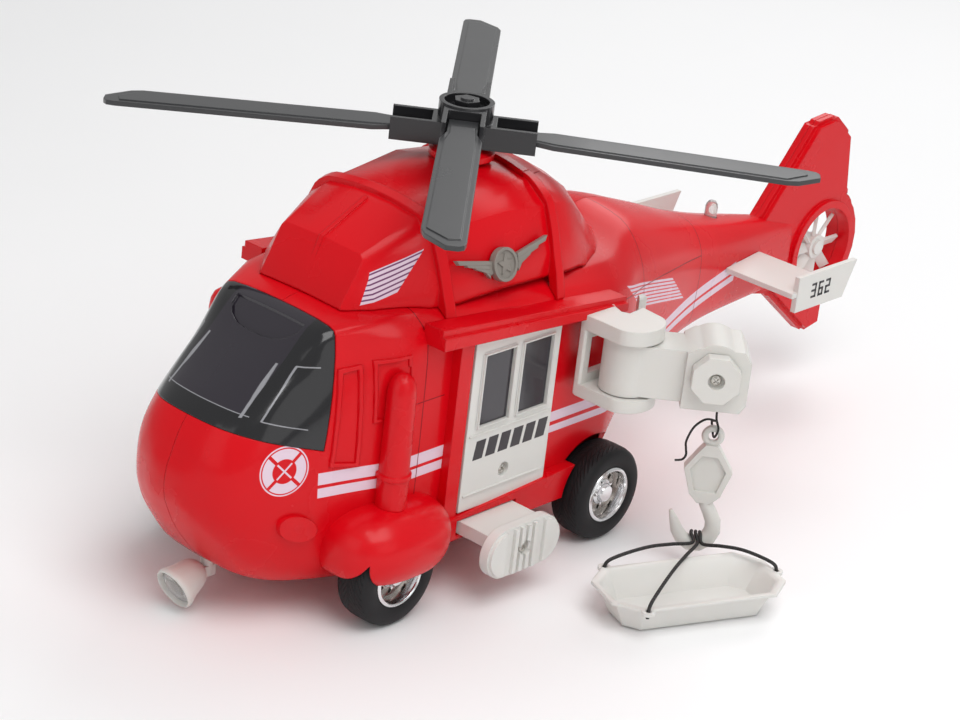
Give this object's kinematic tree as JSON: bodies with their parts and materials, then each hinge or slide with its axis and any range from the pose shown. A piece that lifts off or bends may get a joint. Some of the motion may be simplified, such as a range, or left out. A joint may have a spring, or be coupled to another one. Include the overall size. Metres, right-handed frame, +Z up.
{
  "type": "toy rescue helicopter",
  "caption": "Friction-drive toy rescue helicopter on wheels with a spinning rotor, sliding doors, side steps, swinging winch with hook and a stretcher tray on cords.",
  "frame": {"origin": "middle of the footprint at floor level, with the stretcher and its cords left out", "axes": "+X towards the nose, +Y to the helicopter's left, +Z up"},
  "size_m": [0.4179, 0.2464, 0.1743],
  "materials": {
    "red_shell": "satin",
    "black_gloss": "gloss",
    "black_case": "matte",
    "white_plastic": "satin",
    "badge_grey": "satin",
    "tyre_rubber": "matte",
    "rim_chrome": "polished",
    "steel": "polished",
    "clear": "gloss",
    "cord_black": "matte",
    "board_green": "matte"
  },
  "bodies": {
    "body": {"badge_left": "badge_grey", "badge_right": "badge_grey", "battery_box": "black_case", "battery_cover": "red_shell", "beacon": "clear", "circuit_board": "board_green", "drive_cover": "red_shell", "exhaust_left": "red_shell", "exhaust_right": "red_shell", "hull_left": "red_shell", "hull_right": "red_shell", "mast_collar": "red_shell", "roof_fairing": "red_shell", "side_frame_left": "red_shell", "side_frame_right": "red_shell", "tailplane_left": "white_plastic", "tailplane_right": "white_plastic", "wheel_pod_left": "red_shell", "wheel_pod_right": "red_shell", "winch_bracket": "white_plastic", "winch_pin": "steel", "windshield": "black_gloss"},
    "rotor": {"rotor_hub": "black_gloss", "rotor_mast": "black_gloss", "rotor_blade_1": "black_gloss", "rotor_blade_2": "black_gloss", "rotor_blade_3": "black_gloss", "rotor_blade_4": "black_gloss"},
    "tail_rotor": {"tail_fan": "white_plastic"},
    "front_wheels": {"tyre_front_left": "tyre_rubber", "tyre_front_right": "tyre_rubber", "rim_front_left": "rim_chrome", "rim_front_right": "rim_chrome", "axle_front": "steel"},
    "rear_wheels": {"tyre_rear_left": "tyre_rubber", "tyre_rear_right": "tyre_rubber", "rim_rear_left": "rim_chrome", "rim_rear_right": "rim_chrome", "axle_rear": "steel", "drive_gear": "white_plastic"},
    "flywheel_body": {"flywheel": "steel"},
    "left_door": {"door_left": "white_plastic", "door_panes_left": "black_gloss"},
    "right_door": {"door_right": "white_plastic", "door_panes_right": "black_gloss"},
    "left_step": {"step_left": "white_plastic"},
    "right_step": {"step_right": "white_plastic"},
    "boom": {"winch_boom": "white_plastic"},
    "reel": {"winch_drum": "white_plastic", "winch_knob_front": "white_plastic", "winch_knob_rear": "white_plastic", "winch_screw": "steel"},
    "hoist": {"hoist_string": "cord_black"},
    "hook_body": {"hook": "white_plastic"},
    "stretcher": {"basket": "white_plastic", "sling_cord_1": "cord_black", "sling_cord_2": "cord_black", "sling_cord_3": "cord_black"},
    "lamp": {"searchlight": "white_plastic", "searchlight_lens": "clear"}
  },
  "joints": [
    {"name": "rotor_spin", "type": "hinge", "parent": "body", "child": "rotor", "pos_m": [0.068, 0, 0.165], "axis": [0, 0, 1], "continuous": true},
    {"name": "tail_rotor_spin", "type": "hinge", "parent": "body", "child": "tail_rotor", "pos_m": [-0.18, 0, 0.0644], "axis": [0, 1, 0], "continuous": true},
    {"name": "front_axle_spin", "type": "hinge", "parent": "body", "child": "front_wheels", "pos_m": [0.1411, 0, 0.0196], "axis": [0, 1, 0], "continuous": true},
    {"name": "rear_axle_spin", "type": "hinge", "parent": "body", "child": "rear_wheels", "pos_m": [0.0226, 0, 0.0196], "axis": [0, 1, 0], "continuous": true},
    {"name": "flywheel_spin", "type": "hinge", "parent": "body", "child": "flywheel_body", "pos_m": [0.0353, 0, 0.0196], "axis": [0, 1, 0], "continuous": true},
    {"name": "door_left_slide", "type": "slide", "parent": "body", "child": "left_door", "axis": [-1, 0, 0], "range_m": [0, 0.0105]},
    {"name": "door_right_slide", "type": "slide", "parent": "body", "child": "right_door", "axis": [-1, 0, 0], "range_m": [0, 0.0105]},
    {"name": "step_left_slide", "type": "slide", "parent": "body", "child": "left_step", "axis": [0, -1, 0], "range_m": [0, 0.012]},
    {"name": "step_right_slide", "type": "slide", "parent": "body", "child": "right_step", "axis": [0, 1, 0], "range_m": [0, 0.012]},
    {"name": "winch_swing", "type": "hinge", "parent": "body", "child": "boom", "pos_m": [0.035, 0.066, 0.084], "axis": [0, 0, 1], "range_deg": [-10, 45]},
    {"name": "reel_spin", "type": "hinge", "parent": "boom", "child": "reel", "pos_m": [0.01325, 0.09015, 0.086], "axis": [0.7431, 0.6691, 0], "range_deg": [0, 89]},
    {"name": "hoist_lift", "type": "slide", "parent": "boom", "child": "hoist", "axis": [0, 0, 1], "range_m": [0, 0.00598]},
    {"name": "hook_swing", "type": "hinge", "parent": "hoist", "child": "hook_body", "pos_m": [0.01044, 0.09327, 0.0565], "axis": [-0.788, -0.6157, 0], "range_deg": [-20, 20]},
    {"name": "stretcher_turn", "type": "hinge", "parent": "hoist", "child": "stretcher", "pos_m": [0.01044, 0.09327, 0.013], "axis": [0, 0, 1], "range_deg": [-15, 15]},
    {"name": "searchlight_swivel", "type": "hinge", "parent": "body", "child": "lamp", "pos_m": [0.184, 0, 0.012], "axis": [0, 0, 1], "range_deg": [-35, 35]}
  ],
  "couplings": [
    {"joint": "flywheel_spin", "follows": "rear_axle_spin", "ratio": -2},
    {"joint": "hoist_lift", "follows": "reel_spin", "m_per_rad": 0.00385}
  ]
}
